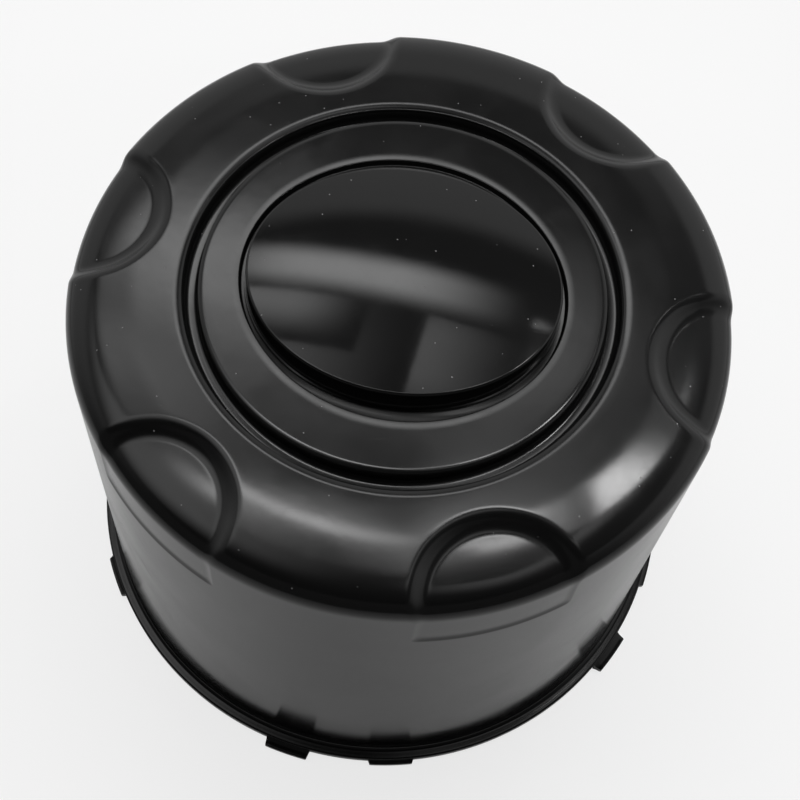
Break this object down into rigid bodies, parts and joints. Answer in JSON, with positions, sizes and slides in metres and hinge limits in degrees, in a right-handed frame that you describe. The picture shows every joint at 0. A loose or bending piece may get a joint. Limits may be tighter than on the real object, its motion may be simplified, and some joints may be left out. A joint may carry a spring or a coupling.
{
  "type": "wheel centre cap",
  "caption": "Push-through wheel centre cap: tapering hollow moulded cap with a scalloped shoulder, a round groove, a locating flange and a blank oval domed badge in its top.",
  "frame": {"origin": "on the cap's axis, level with the flange's underside", "axes": "+Z along the cap's axis, out of the wheel; +X through the middle of one scallop, along the badge pocket's long axis"},
  "size_m": [0.1138, 0.1145, 0.0846],
  "materials": {
    "shell": "gloss black, moulded, with a faint orange peel",
    "badge": "gloss black, smoother than the cap, with fine scratches"
  },
  "bodies": {
    "root": {"cap_shell": "shell", "badge": "badge"}
  },
  "joints": []
}
